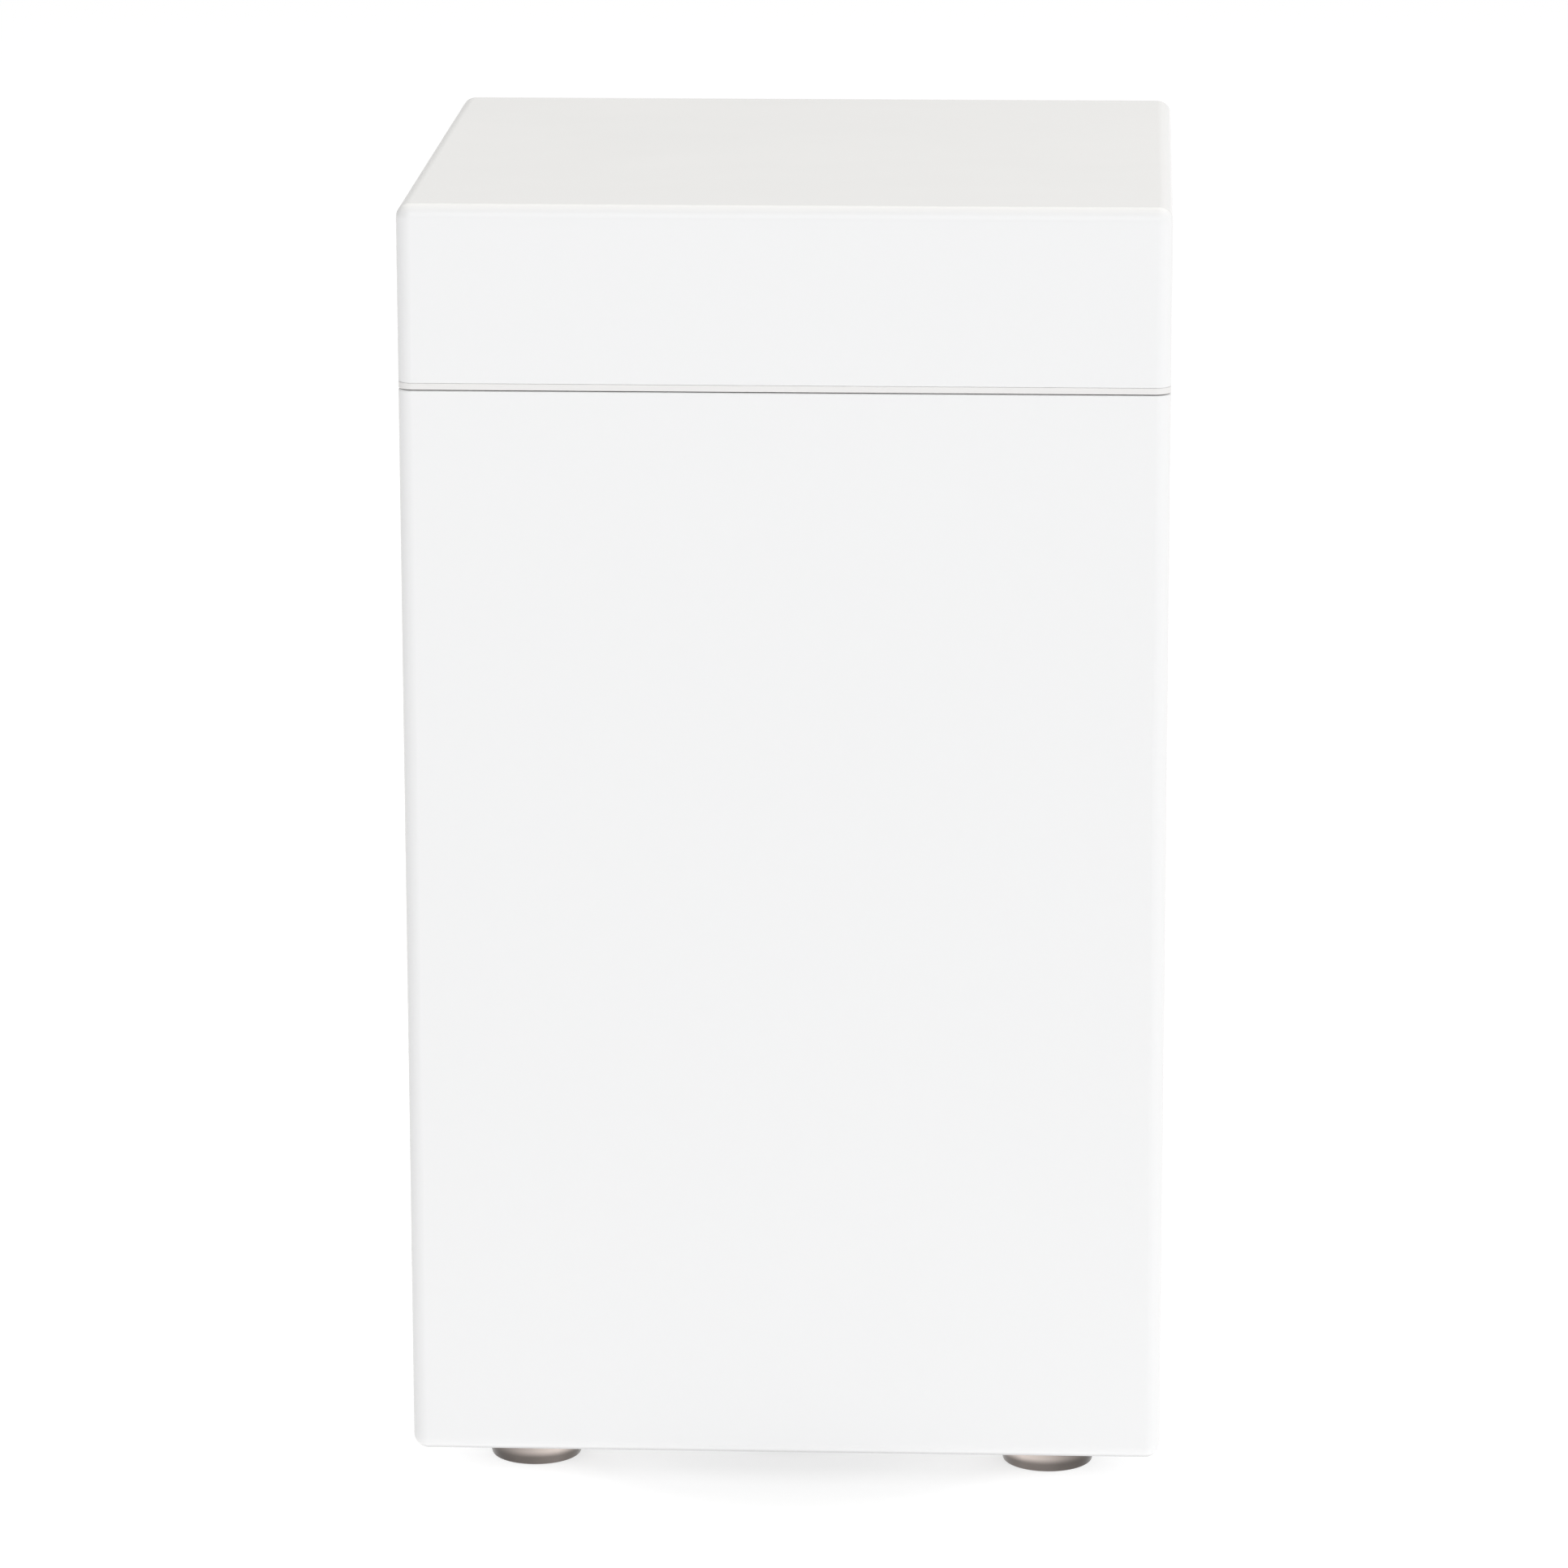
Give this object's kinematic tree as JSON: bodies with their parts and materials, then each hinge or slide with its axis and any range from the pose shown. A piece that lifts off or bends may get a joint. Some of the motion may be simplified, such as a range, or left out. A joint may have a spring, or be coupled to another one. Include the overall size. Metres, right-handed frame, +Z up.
{
  "type": "mini fridge",
  "caption": "Plain white free-standing mini fridge with a front door, a lift-up lid over a control deck, and turned metal levelling feet.",
  "frame": {"origin": "centre of the footprint at the floor, under the feet", "axes": "+Z up, front (door) towards -Y, +X to the right of someone facing the door"},
  "size_m": [0.4, 0.4, 0.6974],
  "materials": {
    "white_gloss": "gloss white",
    "white_lid": "gloss white",
    "white_plastic": "white, semi-gloss",
    "clear_plastic": "milky clear",
    "grey_plastic": "matt grey",
    "black_plastic": "matt black",
    "rubber": "matt",
    "gasket": "soft white, magnetic strip inside",
    "foam": "rigid foam",
    "satin_metal": "turned, satin",
    "zinc": "zinc-plated sheet",
    "aluminium": "anodised sheet",
    "copper": "drawn copper pipe",
    "black_enamel": "black enamel",
    "glass": "toughened",
    "indicator": "green lens"
  },
  "bodies": {
    "cabinet": {"cabinet_wrap": "white_gloss", "back_panel": "white_plastic", "compressor_cover": "grey_plastic", "base_plate": "zinc", "inner_liner": "white_plastic", "compressor_shroud": "zinc", "top_deck": "white_plastic", "control_console": "white_plastic", "thermostat": "grey_plastic", "thermostat_capillary": "copper", "indicator_lens": "indicator", "ice_box": "aluminium", "shelf_lower": "glass", "shelf_upper": "glass", "light_housing": "white_plastic", "light_lens": "clear_plastic", "compressor": "black_enamel", "relay_cover": "black_plastic", "drain_pan": "grey_plastic", "filter_drier": "copper", "discharge_pipe": "copper", "suction_pipe": "copper", "capillary_tube": "copper", "condenser_coil": "copper", "power_inlet": "black_plastic", "door_hinge_upper": "zinc", "door_hinge_lower": "zinc", "lid_hinge_left": "satin_metal", "lid_hinge_right": "satin_metal", "insulation_left": "foam", "insulation_right": "foam", "insulation_floor": "foam", "insulation_step": "foam", "insulation_back": "foam", "insulation_top": "foam", "compressor_mount_1": "rubber", "compressor_mount_2": "rubber", "compressor_mount_3": "rubber", "compressor_mount_4": "rubber"},
    "door": {"door_skin": "white_gloss", "door_foam": "foam", "door_grip": "white_plastic", "door_liner": "white_plastic", "door_gasket": "gasket"},
    "lid": {"lid_shell": "white_lid", "lid_rim": "white_plastic", "lid_liner": "white_plastic", "lid_wing_left": "satin_metal", "lid_wing_right": "satin_metal"},
    "lower_bin": {"door_bin_lower": "clear_plastic"},
    "upper_bin": {"door_bin_upper": "clear_plastic"},
    "knob": {"thermostat_knob": "grey_plastic"},
    "rocker": {"power_rocker": "black_plastic"},
    "tray": {"serving_tray": "white_plastic"},
    "drip_tray": {"drip_tray": "clear_plastic"},
    "flap": {"ice_box_flap": "clear_plastic"},
    "front_left_foot": {"foot_front_left": "satin_metal"},
    "front_right_foot": {"foot_front_right": "satin_metal"},
    "rear_left_foot": {"foot_rear_left": "satin_metal"},
    "rear_right_foot": {"foot_rear_right": "satin_metal"}
  },
  "joints": [
    {"name": "door_swing", "type": "hinge", "parent": "cabinet", "child": "door", "pos_m": [0.188, -0.18, 0.023], "axis": [0, 0, 1], "range_deg": [0, 110]},
    {"name": "lid_lift", "type": "hinge", "parent": "cabinet", "child": "lid", "pos_m": [0, 0.1954, 0.601], "axis": [-1, 0, 0], "range_deg": [0, 80]},
    {"name": "lower_bin_lift", "type": "slide", "parent": "door", "child": "lower_bin", "axis": [0, 0, 1], "range_m": [0, 0.026]},
    {"name": "upper_bin_lift", "type": "slide", "parent": "door", "child": "upper_bin", "axis": [0, 0, 1], "range_m": [0, 0.026]},
    {"name": "knob_turn", "type": "hinge", "parent": "cabinet", "child": "knob", "pos_m": [0.08, 0.145, 0.6266], "axis": [0, 0, 1], "range_deg": [-270, 0]},
    {"name": "rocker_tilt", "type": "hinge", "parent": "cabinet", "child": "rocker", "pos_m": [-0.028, 0.145, 0.622], "axis": [1, 0, 0], "range_deg": [0, 16]},
    {"name": "tray_lift", "type": "slide", "parent": "cabinet", "child": "tray", "axis": [0, 0, 1], "range_m": [0, 0.06]},
    {"name": "drip_tray_slide", "type": "slide", "parent": "cabinet", "child": "drip_tray", "axis": [0, -1, 0], "range_m": [0, 0.03]},
    {"name": "flap_lift", "type": "hinge", "parent": "cabinet", "child": "flap", "pos_m": [0, -0.059, 0.541], "axis": [-1, 0, 0], "range_deg": [0, 85]},
    {"name": "front_left_foot_screw", "type": "slide", "parent": "cabinet", "child": "front_left_foot", "axis": [0, 0, -1], "range_m": [0, 0.008]},
    {"name": "front_right_foot_screw", "type": "slide", "parent": "cabinet", "child": "front_right_foot", "axis": [0, 0, -1], "range_m": [0, 0.008]},
    {"name": "rear_left_foot_screw", "type": "slide", "parent": "cabinet", "child": "rear_left_foot", "axis": [0, 0, -1], "range_m": [0, 0.008]},
    {"name": "rear_right_foot_screw", "type": "slide", "parent": "cabinet", "child": "rear_right_foot", "axis": [0, 0, -1], "range_m": [0, 0.008]}
  ]
}
